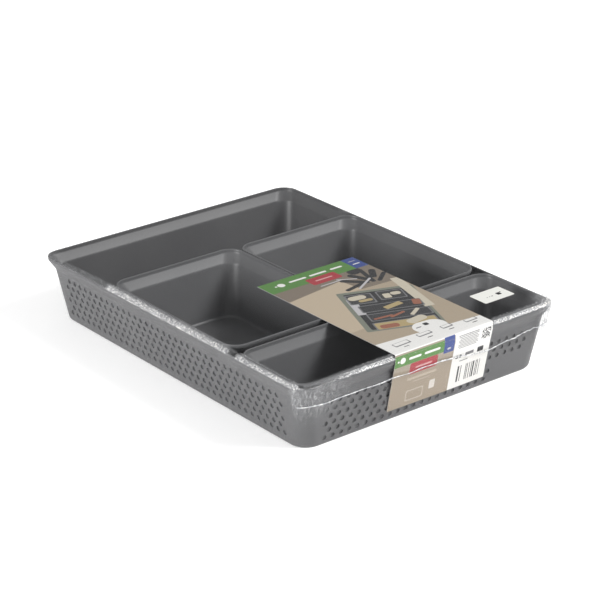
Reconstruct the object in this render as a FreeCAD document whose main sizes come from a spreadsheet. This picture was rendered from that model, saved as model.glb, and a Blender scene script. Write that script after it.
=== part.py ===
import FreeCAD, Part
import Sketcher
import math
import os

# A set of nesting drawer trays in its shelf packing.  One shallow outer tray holds three
# smaller trays: two middle trays side by side and a long front tray.  A bent card label
# lies over the rims, a shrink film holds everything together and a small sticker lies on
# the film.
#
# Frame: millimetres, +Z up, +Y towards the open strip at the back, +X to the right when
# looking at the front wall.  The origin is the middle of the outer tray's base.

DRIVING_SIZES = (
    # outer tray, measured over its rim
    ("outer_width", 300.0),
    ("outer_length", 400.0),
    ("outer_height", 64.0),
    # wall profile that all four trays share
    ("lip_height", 3.0),
    ("flare_height", 9.0),
    ("flare_inset", 5.0),
    ("taper_inset", 7.0),
    ("wall_thickness", 1.8),
    ("floor_thickness", 2.0),
    ("rim_radius", 16.0),
    ("base_radius", 18.0),
    ("base_bevel", 2.0),
    ("floor_cove", 2.0),
    # lengths of the small trays, front to back
    ("middle_length", 190.0),
    ("front_length", 89.0),
    # how the small trays sit in the outer tray
    ("rim_step", 4.0),
    ("seat_gap", 0.3),
    ("rim_clearance", 0.6),
    ("left_tray_margin", 5.8),
    ("right_tray_margin", 7.2),
    ("middle_trays_gap", 1.0),
    ("front_tray_right_margin", 7.5),
    ("left_row_gap", 9.0),
    ("right_row_gap", 6.5),
    # card label
    ("card_width", 114.0),
    ("card_reach", 195.0),
    ("card_thickness", 0.4),
    ("card_centre_offset", 11.5),
    ("card_foot_height", 9.0),
    ("card_gap", 0.3),
    # shrink film
    ("film_thickness", 0.25),
    ("film_gap", 0.3),
    ("film_foot_height", 0.5),
    # sticker on the film, placed from the outer tray's right and front rims
    ("sticker_width", 36.0),
    ("sticker_length", 22.5),
    ("sticker_thickness", 0.15),
    ("sticker_side_margin", 25.5),
    ("sticker_front_margin", 30.0),
)

# Each of these follows the driving sizes.
WORKED_OUT_SIZES = (
    ("shoulder_drop", "lip_height + flare_height"),
    ("base_inset", "flare_inset + taper_inset"),
    ("small_base", "floor_thickness + seat_gap"),
    ("small_rim_level", "outer_height + rim_step"),
    ("small_tray_height", "small_rim_level - small_base"),
    ("nesting_margin", "wall_thickness + rim_clearance"),
    ("side_margins", "left_tray_margin + right_tray_margin"),
    ("middle_width", "( outer_width - side_margins - middle_trays_gap ) / 2"),
    ("front_width", "outer_width - nesting_margin - front_tray_right_margin"),
    ("front_row_back", "nesting_margin + front_length - outer_length / 2"),
    ("left_tray_middle", "front_row_back + left_row_gap + middle_length / 2"),
    ("right_tray_middle", "front_row_back + right_row_gap + middle_length / 2"),
    ("middle_row_back", "left_tray_middle + middle_length / 2"),
    ("card_level", "small_rim_level + card_gap"),
    ("film_level", "card_level + card_thickness + film_gap"),
    ("film_side_gap", "card_gap + card_thickness + film_gap"),
    ("lip_foot_level", "outer_height - lip_height"),
    ("wall_slope", "taper_inset / ( outer_height - shoulder_drop )"),
    ("card_foot_inset", "base_inset - wall_slope * card_foot_height - card_gap"),
)

# Extra reach of a cutting shape past the face that it opens.
OVERSHOOT = 1.0


def sized(formula):
    """Write a formula on the sheet's names as an expression for other objects."""
    names = [name for name, value in DRIVING_SIZES + WORKED_OUT_SIZES]
    words = formula.split()
    return " ".join("sizes." + word if word in names else word for word in words)


def make_sheet(document):
    """Put every size of the set in a spreadsheet."""
    sheet = document.addObject("Spreadsheet::Sheet", "sizes")
    rows = [(name, str(value)) for name, value in DRIVING_SIZES]
    rows += [(name, "=" + formula) for name, formula in WORKED_OUT_SIZES]
    for number, (name, content) in enumerate(rows, start=1):
        sheet.set("A%d" % number, name)
        sheet.set("B%d" % number, content)
        sheet.setAlias("B%d" % number, name)
    document.recompute()


def make_body(document, label):
    """An empty body whose label names its file."""
    body = document.addObject("PartDesign::Body", label)
    body.Label = label
    return body


def new_sketch(body, name, role, height=None):
    """An empty sketch on one of the body's own origin planes, raised by a formula."""
    planes = [plane for plane in body.Origin.OriginFeatures if plane.Role == role]
    sketch = body.newObject("Sketcher::SketchObject", name)
    sketch.AttachmentSupport = [(planes[0], "")]
    sketch.MapMode = "FlatFace"
    if height is not None:
        sketch.setExpression("AttachmentOffset.Base.z", sized(height))
    return sketch


def bind(sketch, name, constraint, formula):
    """Add a named constraint whose value follows a formula."""
    index = sketch.addConstraint(constraint)
    sketch.renameConstraint(index, name)
    sketch.setExpression("Constraints." + name, sized(formula))


def rounded_rectangle(body, name, width, length, radius, height):
    """A centred rectangle with round corners; its four sizes are formulas."""
    sketch = new_sketch(body, name, "XY_Plane", height)
    half_x, half_y, corner = 50.0, 40.0, 10.0
    flat_x, flat_y = half_x - corner, half_y - corner
    sides = (
        ((-flat_x, -half_y), (flat_x, -half_y)),
        ((half_x, -flat_y), (half_x, flat_y)),
        ((flat_x, half_y), (-flat_x, half_y)),
        ((-half_x, flat_y), (-half_x, -flat_y)),
    )
    centres = ((flat_x, -flat_y), (flat_x, flat_y), (-flat_x, flat_y), (-flat_x, -flat_y))
    for start, end in sides:
        line = Part.LineSegment(FreeCAD.Vector(*start, 0), FreeCAD.Vector(*end, 0))
        sketch.addGeometry(line, False)
    for index, centre in enumerate(centres):
        circle = Part.Circle(FreeCAD.Vector(*centre, 0), FreeCAD.Vector(0, 0, 1), corner)
        first = (index - 1) * math.pi / 2
        sketch.addGeometry(Part.ArcOfCircle(circle, first, first + math.pi / 2), False)
    first_arc = 4
    for index in range(4):
        arc = first_arc + index
        sketch.addConstraint(Sketcher.Constraint("Tangent", index, 2, arc, 1))
        sketch.addConstraint(Sketcher.Constraint("Tangent", arc, 2, (index + 1) % 4, 1))
        sketch.addConstraint(Sketcher.Constraint(("Horizontal", "Vertical")[index % 2], index))
        if index > 0:
            sketch.addConstraint(Sketcher.Constraint("Equal", first_arc, arc))
    sketch.addConstraint(Sketcher.Constraint("Symmetric", first_arc, 3, first_arc + 2, 3, -1, 1))
    bind(sketch, "width", Sketcher.Constraint("DistanceX", 3, 1, 1, 1, 2 * half_x), width)
    bind(sketch, "length", Sketcher.Constraint("DistanceY", 0, 1, 2, 1, 2 * half_y), length)
    bind(sketch, "radius", Sketcher.Constraint("Radius", first_arc, corner), radius)
    return sketch


def polygon(body, name, corners):
    """A closed outline in the YZ plane; each corner is a pair of formulas (y, z)."""
    sketch = new_sketch(body, name, "YZ_Plane")
    count = len(corners)
    for index in range(count):
        angle, following = (2 * math.pi * step / count for step in (index, index + 1))
        start = FreeCAD.Vector(math.cos(angle), math.sin(angle), 0)
        end = FreeCAD.Vector(math.cos(following), math.sin(following), 0)
        sketch.addGeometry(Part.LineSegment(start * 50, end * 50), False)
    for index, (along, up) in enumerate(corners):
        previous = (index - 1) % count
        sketch.addConstraint(Sketcher.Constraint("Coincident", previous, 2, index, 1))
        here = sketch.getPoint(index, 1)
        across = Sketcher.Constraint("DistanceX", -1, 1, index, 1, here.x)
        rise = Sketcher.Constraint("DistanceY", -1, 1, index, 1, here.y)
        bind(sketch, "along_%d" % index, across, along)
        bind(sketch, "up_%d" % index, rise, up)
    return sketch


def loft(body, kind, name, sketches):
    """A straight-sided loft through the sketches, adding or taking away."""
    feature = body.newObject("PartDesign::" + kind, name)
    feature.Profile = sketches[0]
    feature.Sections = sketches[1:]
    feature.Ruled = True
    return feature


def place(piece, x, y, z):
    """Set a piece's place from three formulas."""
    for axis, formula in (("x", x), ("y", y), ("z", z)):
        piece.setExpression("Placement.Base." + axis, sized(formula))


def make_tray(document, label, width, length, height):
    """An open tray with tapered walls, a flared rim band and an upright lip."""
    body = make_body(document, label)
    outside = (
        ("base", "0", "( base_inset + base_bevel )", "base_radius - base_bevel"),
        ("bevel", "base_bevel", "base_inset", "base_radius"),
        ("shoulder", height + " - shoulder_drop", "flare_inset", "rim_radius"),
        ("lip_foot", height + " - lip_height", "0", "rim_radius"),
        ("rim", height, "0", "rim_radius"),
    )
    # The hollow follows the outside one wall thickness in, from a small cove at the floor.
    floor = "floor_thickness"
    inside = (
        ("floor", floor, "( base_inset + floor_cove )", "base_radius - floor_cove"),
        ("cove", floor + " + floor_cove", "base_inset", "base_radius"),
        outside[2],
        outside[3],
        ("mouth", height + " + %s" % OVERSHOOT, "0", "rim_radius"),
    )
    block_sketches = []
    for name, level, inset, radius in outside:
        block_sketches.append(rounded_rectangle(
            body, label + "_" + name,
            width + " - 2 * " + inset, length + " - 2 * " + inset, radius, level))
    hollow_sketches = []
    for name, level, inset, radius in inside:
        walls = " - 2 * " + inset + " - 2 * wall_thickness"
        hollow_sketches.append(rounded_rectangle(
            body, label + "_inner_" + name,
            width + walls, length + walls, radius + " - wall_thickness", level))
    loft(body, "AdditiveLoft", label + "_block", block_sketches)
    document.recompute()
    body.Tip = loft(body, "SubtractiveLoft", label + "_hollow", hollow_sketches)
    document.recompute()
    return body


def make_film_block(document, label, extra):
    """The space inside the film, or with the film's thickness as extra, its outer shape."""
    body = make_body(document, label)
    beyond = "( film_side_gap + " + extra + " )"
    levels = (
        ("foot", "film_foot_height", "base_inset", "base_radius"),
        ("lip_foot", "lip_foot_level", "0", "rim_radius"),
        ("top", "film_level + " + extra, "0", "rim_radius"),
    )
    sketches = []
    for name, level, inset, radius in levels:
        sketch = rounded_rectangle(
            body, label + "_" + name,
            "outer_width - 2 * " + inset + " + 2 * " + beyond,
            "outer_length - 2 * " + inset + " + 2 * " + beyond,
            radius + " + " + beyond, level)
        sketches.append(sketch)
    loft(body, "AdditiveLoft", label + "_block", sketches)
    document.recompute()
    # Behind the middle trays the film slopes down to the outer tray's back rim.
    back = "outer_length / 2 + " + beyond
    slope = polygon(body, label + "_slope", (
        ("middle_row_back + 1", "film_level + " + extra),
        (back, "outer_height + film_gap + " + extra),
        (back + " + 5", "outer_height + film_gap + " + extra),
        (back + " + 5", "film_level + " + extra + " + 5"),
        ("middle_row_back + 1", "film_level + " + extra + " + 5"),
    ))
    pocket = body.newObject("PartDesign::Pocket", label + "_slope_cut")
    pocket.Profile = slope
    pocket.Midplane = True
    pocket.setExpression("Length", sized("outer_width * 2"))
    document.recompute()
    body.Tip = pocket
    return body


def make_film(document):
    """A thin skin over the trays, open underneath."""
    film = document.addObject("Part::Cut", "shrink_film")
    film.Label = "shrink_film"
    film.Base = make_film_block(document, "film_outside", "film_thickness")
    film.Tool = make_film_block(document, "film_inside", "0")
    document.recompute()
    return film


def make_card(document):
    """A card that lies on the small trays' rims and folds down over the front rim."""
    body = make_body(document, "label_card")
    front = "0 - outer_length / 2"
    outline = polygon(body, "card_outline", (
        (front + " - card_gap + card_reach", "card_level"),
        (front + " - card_gap", "card_level"),
        (front + " - card_gap", "lip_foot_level"),
        (front + " + card_foot_inset", "card_foot_height"),
        (front + " + card_foot_inset - card_thickness", "card_foot_height"),
        (front + " - card_gap - card_thickness", "lip_foot_level"),
        (front + " - card_gap - card_thickness", "card_level + card_thickness"),
        (front + " - card_gap + card_reach", "card_level + card_thickness"),
    ))
    pad = body.newObject("PartDesign::Pad", "card_sheet")
    pad.Profile = outline
    pad.Midplane = True
    pad.setExpression("Length", sized("card_width"))
    document.recompute()
    body.Tip = pad
    place(body, "card_centre_offset", "0", "0")
    return body


def make_sticker(document):
    """A small paper sticker on top of the film."""
    sticker = document.addObject("Part::Box", "film_sticker")
    sticker.Label = "film_sticker"
    sticker.setExpression("Length", sized("sticker_width"))
    sticker.setExpression("Width", sized("sticker_length"))
    sticker.setExpression("Height", sized("sticker_thickness"))
    place(sticker, "outer_width / 2 - sticker_side_margin - sticker_width",
          "sticker_front_margin - outer_length / 2", "film_level + film_thickness")
    return sticker


def check_document(document, pieces):
    """Stop if any object failed or any piece is not a sound shape."""
    for thing in document.Objects:
        if "Invalid" in thing.State or "Error" in thing.State:
            raise RuntimeError("%s failed: %s" % (thing.Name, thing.State))
    for piece in pieces:
        if piece.Shape.isNull() or not piece.Shape.isValid() or piece.Shape.Volume <= 0:
            raise RuntimeError("%s has no sound shape" % piece.Label)


def main():
    document = FreeCAD.newDocument("drawer_trays")
    make_sheet(document)
    pieces = [make_tray(document, "outer_tray", "outer_width", "outer_length", "outer_height")]
    for label, width, length in (
            ("middle_left_tray", "middle_width", "middle_length"),
            ("middle_right_tray", "middle_width", "middle_length"),
            ("front_tray", "front_width", "front_length")):
        pieces.append(make_tray(document, label, width, length, "small_tray_height"))
    left, right, front = pieces[1:]
    place(left, "left_tray_margin + middle_width / 2 - outer_width / 2",
          "left_tray_middle", "small_base")
    place(right, "outer_width / 2 - right_tray_margin - middle_width / 2",
          "right_tray_middle", "small_base")
    place(front, "nesting_margin + front_width / 2 - outer_width / 2",
          "nesting_margin + front_length / 2 - outer_length / 2", "small_base")
    pieces.append(make_card(document))
    pieces.append(make_film(document))
    pieces.append(make_sticker(document))
    document.recompute()
    check_document(document, pieces)
    os.makedirs("parts", exist_ok=True)
    for piece in pieces:
        piece.Shape.exportStep("parts/" + piece.Label + ".step")
        box = piece.Shape.BoundBox
        print("%-18s solids %d  volume %9.0f mm3  x %.1f..%.1f  y %.1f..%.1f  z %.2f..%.2f" % (
            piece.Label, len(piece.Shape.Solids), piece.Shape.Volume,
            box.XMin, box.XMax, box.YMin, box.YMax, box.ZMin, box.ZMax))


main()
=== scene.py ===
# %% [markdown]
# # A set of drawer trays, packed in clear film
# The set is one large moulded tray with three smaller trays standing in it. A printed card lies on the small
# trays and hangs down over the front, and a clear shrink film with a small sticker holds the set together.
# The imported CAD model gives every place and size. It is loaded first, so that nothing here is placed by
# eye, and its parts are kept in the scene.

# %% Load the frame
import math

import bmesh
import bpy
from mathutils import Matrix, Quaternion, Vector, noise


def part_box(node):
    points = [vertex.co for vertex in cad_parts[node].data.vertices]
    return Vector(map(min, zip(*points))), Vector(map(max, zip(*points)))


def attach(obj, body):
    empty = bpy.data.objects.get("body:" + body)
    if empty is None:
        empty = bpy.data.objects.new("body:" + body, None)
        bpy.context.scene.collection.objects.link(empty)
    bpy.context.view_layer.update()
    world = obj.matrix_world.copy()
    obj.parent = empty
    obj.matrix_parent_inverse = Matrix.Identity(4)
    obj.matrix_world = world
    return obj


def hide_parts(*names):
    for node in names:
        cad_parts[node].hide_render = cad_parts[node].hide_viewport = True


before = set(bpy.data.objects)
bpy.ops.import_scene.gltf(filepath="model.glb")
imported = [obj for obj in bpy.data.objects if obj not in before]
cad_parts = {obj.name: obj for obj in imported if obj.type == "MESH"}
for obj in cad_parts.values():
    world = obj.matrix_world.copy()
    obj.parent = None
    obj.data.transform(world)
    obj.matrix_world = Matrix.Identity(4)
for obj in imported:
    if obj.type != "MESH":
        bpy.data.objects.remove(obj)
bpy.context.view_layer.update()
MM = 0.001
print("loaded", sorted(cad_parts))

# %% [markdown]
# ## The camera
# A long lens from a little above, looking at the front left corner. The eye could be given as a plain
# place, but an angle round the object, an angle above the floor and a distance are easier to read and to
# change. A very small roll finishes the framing.

# %% Place the camera
AIM = Vector((14.74, 7.31, 34.51)) * MM
AROUND, ABOVE, ROLL = math.radians(-38.25), math.radians(23.30), math.radians(-0.536)
EYE_DISTANCE, FOCAL_LENGTH, SENSOR_WIDTH = 2.0551, 130.1, 36.0
away = Vector((math.sin(AROUND) * math.cos(ABOVE), -math.cos(AROUND) * math.cos(ABOVE), math.sin(ABOVE)))
lens = bpy.data.cameras.new("camera")
lens.lens, lens.sensor_width = FOCAL_LENGTH, SENSOR_WIDTH
lens.clip_start, lens.clip_end = 0.1, 20.0
camera = bpy.data.objects.new("camera", lens)
camera.location = AIM + away * EYE_DISTANCE
camera.rotation_mode = "QUATERNION"
camera.rotation_quaternion = (-away).to_track_quat("-Z", "Y") @ Quaternion((0, 0, 1), ROLL)
bpy.context.scene.collection.objects.link(camera)
bpy.context.scene.camera = camera
print("camera at", [round(part, 4) for part in camera.location])

# %% [markdown]
# ## Small helpers
# Colours are written as a painter reads them, from 0 to 255, and turned into the linear light that shaders
# use. A finished mesh becomes a piece that rides on its CAD body, stands for its CAD node and takes
# the finish it is given. Doing this in one place means that no piece can forget a step.

# %% Colour and piece helpers
def ink(red, green, blue):
    """A screen colour as the linear colour a shader needs."""
    parts = [part / 255.0 for part in (red, green, blue)]
    return tuple(p / 12.92 if p <= 0.04045 else ((p + 0.055) / 1.055) ** 2.4 for p in parts) + (1.0,)


def finish_piece(builder, name, material, body, replaced, sharp_degrees=32.0):
    """Turns a finished bmesh into a shaded piece that rides on its body."""
    mesh = bpy.data.meshes.new(name)
    builder.to_mesh(mesh)
    builder.free()
    piece = bpy.data.objects.new(name, mesh)
    bpy.context.scene.collection.objects.link(piece)
    mesh.materials.append(material)
    mesh.shade_smooth()
    mesh.set_sharp_from_angle(angle=math.radians(sharp_degrees))
    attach(piece, body)
    if replaced:
        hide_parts(replaced)
    print(name, len(mesh.polygons), "faces")
    return piece


print("white ink is", ink(255, 255, 255))


# %% Mesh helpers
def cut_through(builder, place, normal):
    """Cuts the whole mesh along one plane and keeps both sides."""
    bmesh.ops.bisect_plane(builder, geom=builder.verts[:] + builder.edges[:] + builder.faces[:], dist=1e-7,
                           plane_co=place, plane_no=normal)


def turn_outwards(builder):
    """Makes the faces of an open sheet agree, with the highest one looking up."""
    bmesh.ops.recalc_face_normals(builder, faces=builder.faces)
    if max(builder.faces, key=lambda face: face.calc_center_median().z).normal.z < 0:
        bmesh.ops.reverse_faces(builder, faces=builder.faces)


print("mesh helpers ready")

# %% [markdown]
# ## Shader groups
# An effect that several finishes share is built once, as a node group, and given other values in each. The
# nodes could be placed by hand for every finish, but then a mend in one would be missed in the next. The
# helpers below keep a node, its settings and its inputs on one line.

# %% Helpers for groups and nodes
def new_group(name, inputs, outputs):
    """An empty shader group with the named sockets, and its two end nodes."""
    group = bpy.data.node_groups.new(name, "ShaderNodeTree")
    for title, kind, value in inputs:
        socket = group.interface.new_socket(name=title, in_out="INPUT", socket_type="NodeSocket" + kind)
        if value is not None:
            socket.default_value = value
    for title, kind in outputs:
        group.interface.new_socket(name=title, in_out="OUTPUT", socket_type="NodeSocket" + kind)
    return group, group.nodes.new("NodeGroupInput"), group.nodes.new("NodeGroupOutput")


def put(tree, node, title, value):
    """Sets one input, by name or number, or links it when the value is another node's output."""
    socket = node.inputs[title]
    if isinstance(value, bpy.types.NodeSocket):
        tree.links.new(value, socket)
    else:
        socket.default_value = value


def add_node(tree, kind, settings=(), **inputs):
    """A node with its settings made and its named inputs set or linked."""
    node = tree.nodes.new("ShaderNode" + kind)
    for setting, value in dict(settings).items():
        setattr(node, setting, value)
    for title, value in inputs.items():
        put(tree, node, title.replace("_", " "), value)
    return node


print("group and node helpers ready")


# %% Helpers for arithmetic and colour
def calculate(tree, operation, first, second=None, clamp=False, kind="Math"):
    """One step of arithmetic, as the output of a Math or VectorMath node."""
    node = add_node(tree, kind, {"operation": operation})
    if clamp:
        node.use_clamp = True
    put(tree, node, 0, first)
    if second is not None:
        put(tree, node, 1, second)
    return node.outputs[0]


def spread(tree, value, low, high, new_low=0.0, new_high=1.0):
    """Stretches a range of values over another one, clamped."""
    node = add_node(tree, "MapRange", {"clamp": True}, Value=value)
    for title, number in (("From Min", low), ("From Max", high), ("To Min", new_low), ("To Max", new_high)):
        put(tree, node, title, number)
    return node.outputs[0]


def blend_colours(tree, amount, first, second):
    """Mixes two colours by an amount. The numbers are the Mix node's colour sockets."""
    node = add_node(tree, "Mix", {"data_type": "RGBA"})
    put(tree, node, 0, amount)
    put(tree, node, 6, first)
    put(tree, node, 7, second)
    return node.outputs[2]


print("arithmetic helpers ready")

# %% [markdown]
# The moulded grain is the fine texture that a spark-eroded mould leaves, with a slow drift in tone. A
# picture of a surface would do it too, but noise has no seams and stays sharp close up.

# %% Group: moulded grain
grain_group, grain_in, grain_out = new_group(
    "moulded_grain",
    [("Place", "Vector", None), ("Fineness", "Float", 900.0), ("Drift", "Float", 9.0)],
    [("Grain", "Float"), ("Tone", "Float")])
grain = add_node(grain_group, "TexNoise", Vector=grain_in.outputs["Place"],
                 Scale=grain_in.outputs["Fineness"], Detail=3.0, Roughness=0.6)
drift = add_node(grain_group, "TexNoise", Vector=grain_in.outputs["Place"],
                 Scale=grain_in.outputs["Drift"], Detail=2.0, Roughness=0.5)
put(grain_group, grain_out, "Grain", grain.outputs[0])
put(grain_group, grain_out, "Tone", spread(grain_group, drift.outputs[0], 0.3, 0.7))
print("group", grain_group.name)

# %% [markdown]
# The printed block is a rounded rectangle with a centre, a half size and a turn. The place is turned about
# the centre and folded into one quarter, so that one distance to a rounded corner serves all four. All the
# plain artwork on the card and the sticker is laid out from it.

# %% Group: printed block
INK_BLEED = 0.12
block_group, block_in, block_out = new_group(
    "printed_block",
    [("Place", "Vector", None), ("Centre", "Vector", (0, 0, 0)), ("Half Size", "Vector", (1, 1, 0)),
     ("Turn", "Float", 0.0), ("Corner", "Float", 0.2)],
    [("Mask", "Float")])
turned = add_node(block_group, "VectorRotate", {"rotation_type": "Z_AXIS"}, Vector=block_in.outputs["Place"],
                  Center=block_in.outputs["Centre"],
                  Angle=calculate(block_group, "MULTIPLY", block_in.outputs["Turn"], -math.pi / 180.0))
shifted = calculate(block_group, "SUBTRACT", turned.outputs[0], block_in.outputs["Centre"], kind="VectorMath")
folded = calculate(block_group, "ABSOLUTE", shifted, kind="VectorMath")
beyond = calculate(block_group, "SUBTRACT", folded, block_in.outputs["Half Size"], kind="VectorMath")
sides = add_node(block_group, "SeparateXYZ", Vector=beyond)
squares = []
for axis in (0, 1):
    reach = calculate(block_group, "ADD", sides.outputs[axis], block_in.outputs["Corner"])
    squares.append(calculate(block_group, "POWER", calculate(block_group, "MAXIMUM", reach, 0.0), 2.0))
to_corner = calculate(block_group, "SQRT", calculate(block_group, "ADD", *squares))
distance = calculate(block_group, "SUBTRACT", to_corner, block_in.outputs["Corner"])
put(block_group, block_out, "Mask", spread(block_group, distance, -INK_BLEED, INK_BLEED, 1.0, 0.0))
print("group", block_group.name)

# %% [markdown]
# Random cells are dark or light by chance. Cells that are long one way make a striped code, and square ones
# make a dotted code. Neither can be read, which is the point: the card needs the look of a code only. A tiny
# nudge keeps zero from becoming minus zero, which the white noise would take for another cell.

# %% Group: random cells
MINUS_ZERO_GUARD = 0.000001
cells_group, cells_in, cells_out = new_group(
    "random_cells", [("Place", "Vector", None), ("Cells Per Unit", "Vector", (1, 1, 0))], [("Mask", "Float")])
counted = calculate(cells_group, "MULTIPLY", cells_in.outputs["Place"], cells_in.outputs["Cells Per Unit"],
                    kind="VectorMath")
nudged = calculate(cells_group, "ADD", counted, (MINUS_ZERO_GUARD,) * 3, kind="VectorMath")
cell_number = calculate(cells_group, "FLOOR", nudged, kind="VectorMath")
toss = add_node(cells_group, "TexWhiteNoise", {"noise_dimensions": "3D"}, Vector=cell_number)
put(cells_group, cells_out, "Mask", calculate(cells_group, "GREATER_THAN", toss.outputs["Value"], 0.48))
print("group", cells_group.name)

# %% [markdown]
# Paper fibre is a soft cloudy noise. The card and the sticker both use it, for a few grey flecks, an uneven
# gloss and, on the card, a very shallow bump.

# %% Group: paper fibre
fibre_group, fibre_in, fibre_out = new_group(
    "paper_fibre",
    [("Place", "Vector", None), ("Scale", "Float", 1.0), ("Detail", "Float", 3.0),
     ("Fleck Low", "Float", 0.4), ("Fleck High", "Float", 0.7), ("Fleck Strength", "Float", 0.1)],
    [("Fibre", "Float"), ("Fleck", "Float")])
fibre = add_node(fibre_group, "TexNoise", Vector=fibre_in.outputs["Place"], Scale=fibre_in.outputs["Scale"],
                 Detail=fibre_in.outputs["Detail"])
put(fibre_group, fibre_out, "Fibre", fibre.outputs[0])
put(fibre_group, fibre_out, "Fleck",
    spread(fibre_group, fibre.outputs[0], fibre_in.outputs["Fleck Low"], fibre_in.outputs["Fleck High"],
           0.0, fibre_in.outputs["Fleck Strength"]))
print("group", fibre_group.name)

# %% [markdown]
# Film that gathers turns white in fine streaks. The white is partly the film's own milky look and partly
# painted highlight. The place is stretched before the noise reads it, which draws the noise out into lines,
# and the streaks grow with how crinkled the film is. The film and its weld share this.

# %% Group: film streaks
streaks_group, streaks_in, streaks_out = new_group(
    "film_streaks",
    [("Place", "Vector", None), ("Stretch", "Vector", (1, 1, 1)), ("Crinkle", "Float", 0.0)],
    [("Streaks", "Float"), ("Milk_And_Highlight", "Float"), ("Gathered_And_Highlight", "Float")])
stretched = add_node(streaks_group, "Mapping", Vector=streaks_in.outputs["Place"],
                     Scale=streaks_in.outputs["Stretch"])
streaks = add_node(streaks_group, "TexNoise", Vector=stretched.outputs[0], Scale=1.0, Detail=4.0,
                   Roughness=0.65, Distortion=0.6)
# The white lines, and the gathered film they grow with, are partly milky film and partly painted highlight.
lines = spread(streaks_group, streaks.outputs[0], 0.48, 0.70)
crinkle = streaks_in.outputs["Crinkle"]
body = calculate(streaks_group, "ADD", lines, calculate(streaks_group, "MULTIPLY", crinkle, 0.45))
put(streaks_group, streaks_out, "Streaks", streaks.outputs[0])
put(streaks_group, streaks_out, "Milk_And_Highlight", calculate(streaks_group, "MULTIPLY", lines, crinkle))
put(streaks_group, streaks_out, "Gathered_And_Highlight", calculate(streaks_group, "MULTIPLY", crinkle, body, clamp=True))
print("group", streaks_group.name)

# %% [markdown]
# ## The tray plastic
# Dark grey polypropylene with a matte moulded surface. The colour drifts very slightly, as regrind does, and
# the grain is a shallow bump. Worn edges are often painted in the shader, but new trays have none, and the
# mesh itself is rounded, so the light finds the edges without help.

# %% Material: tray plastic
def new_material(name):
    """A material, its node tree and its shader."""
    material = bpy.data.materials.new(name)
    material.use_nodes = True
    tree = material.node_tree
    return material, tree, tree.nodes["Principled BSDF"]


def make_tray_plastic(name, dark, light):
    """Matte moulded plastic in one grey, with grain and a slow drift."""
    material, tree, shader = new_material(name)
    place = add_node(tree, "TexCoord").outputs["Object"]
    detail = add_node(tree, "Group", {"node_tree": grain_group}, Place=place, Fineness=1400.0, Drift=11.0)
    speck = add_node(tree, "TexNoise", Vector=place, Scale=320.0, Detail=2.0)
    tone = calculate(tree, "ADD", calculate(tree, "MULTIPLY", detail.outputs["Tone"], 0.85),
                     calculate(tree, "MULTIPLY", speck.outputs[0], 0.15))
    bump = add_node(tree, "Bump", Height=detail.outputs["Grain"], Strength=0.06, Distance=0.25 * MM)
    put(tree, shader, "Base Color", blend_colours(tree, tone, dark, light))
    put(tree, shader, "Roughness", spread(tree, detail.outputs["Grain"], 0.3, 0.7, 0.37, 0.47))
    put(tree, shader, "Normal", bump.outputs[0])
    return material


outer_plastic = make_tray_plastic("outer_tray_plastic", (0.077, 0.077, 0.080, 1), (0.095, 0.095, 0.097, 1))
inner_plastic = make_tray_plastic("small_tray_plastic", (0.094, 0.095, 0.099, 1), (0.114, 0.115, 0.118, 1))
print("tray plastics made")

# %% [markdown]
# ## The trays
# Every tray has one section: a small bevel at the foot, a wall that leans out, a flared shoulder and a short
# upright lip. It could be swept round a path, but a rounded rectangle for each level is simpler: four points
# are bevelled into corners, the rings are bridged, and the rings that are soft on the moulding are bevelled
# again. Outside and inside are one closed shell, so the walls have their real thickness.

# %% Tray sizes
WALL, FLOOR = 1.8 * MM, 2 * MM
BASE_INSET, FLARE_INSET = 12 * MM, 5 * MM  # how far foot and shoulder stand in from the rim
SHOULDER_DROP, LIP = 12 * MM, 3 * MM  # how far shoulder and lip reach down from the rim
FOOT, COVE = 2 * MM, 2 * MM  # the bevels below and above the floor
RIM_RADIUS, BASE_RADIUS, ARC_STEPS = 16 * MM, 18 * MM, 9
DIMPLE_PITCH, DIMPLE_ROW, DIMPLE_ROWS = 9.2 * MM, 7.07 * MM, 6
SIDE_START, END_START = 7.6 * MM, 3.6 * MM  # the pattern's foot above the tray's, on side and end walls
DIMPLE_RADIUS, DIMPLE_DEPTH = 2.45 * MM, 1.45 * MM
DISH = ((0.74, 0.84), (0.26, 0.58))  # each step's share of the depth, and how far it narrows
print("wall", WALL, "dimple pitch", DIMPLE_PITCH)


# %% Ring and bridge helpers
def rounded_ring(builder, centre, half_width, half_length, radius, level, steps=ARC_STEPS):
    """A rounded rectangle of edges at one level, with the face inside it."""
    old_edges = set(builder.edges)
    old_faces = set(builder.faces)
    corners = [builder.verts.new((centre.x + side * half_width, centre.y + end * half_length, level))
               for side, end in ((-1, -1), (1, -1), (1, 1), (-1, 1))]
    builder.faces.new(corners)
    bmesh.ops.bevel(builder, geom=corners, offset=radius, offset_type="OFFSET", segments=steps, profile=0.5,
                    affect="VERTICES", material=-1)
    edges = [edge for edge in builder.edges if edge not in old_edges]
    face = [face for face in builder.faces if face not in old_faces][0]
    return edges, face


def bridge_rings(builder, rings):
    """Bridges each ring of edges to the next and drops the faces of the rings between."""
    for edges, face in rings[1:-1]:
        bmesh.ops.delete(builder, geom=[face], context="FACES_ONLY")
    for lower, upper in zip(rings, rings[1:]):
        bmesh.ops.bridge_loops(builder, edges=lower[0] + upper[0])


def soften(builder, level, offset, segments):
    """Rounds the closed rings of edges at one level."""
    ring = [edge for edge in builder.edges if all(abs(vert.co.z - level) < 1e-6 for vert in edge.verts)]
    bmesh.ops.bevel(builder, geom=ring, offset=offset, offset_type="OFFSET", segments=segments, profile=0.5,
                    affect="EDGES", material=-1)


print("ring helpers ready")

# %% [markdown]
# The dimples are real hollows. Cutting hundreds of round holes with booleans is slow and leaves slivers, so
# each wall gets a panel of small squares instead, merged into a brick pattern of cells. A cell has twelve
# points on its outline, so its inset can be drawn round into a circle, and two extrusions sink the circle
# into the wall. The rest of the wall is filled in flat around the panel.

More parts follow.
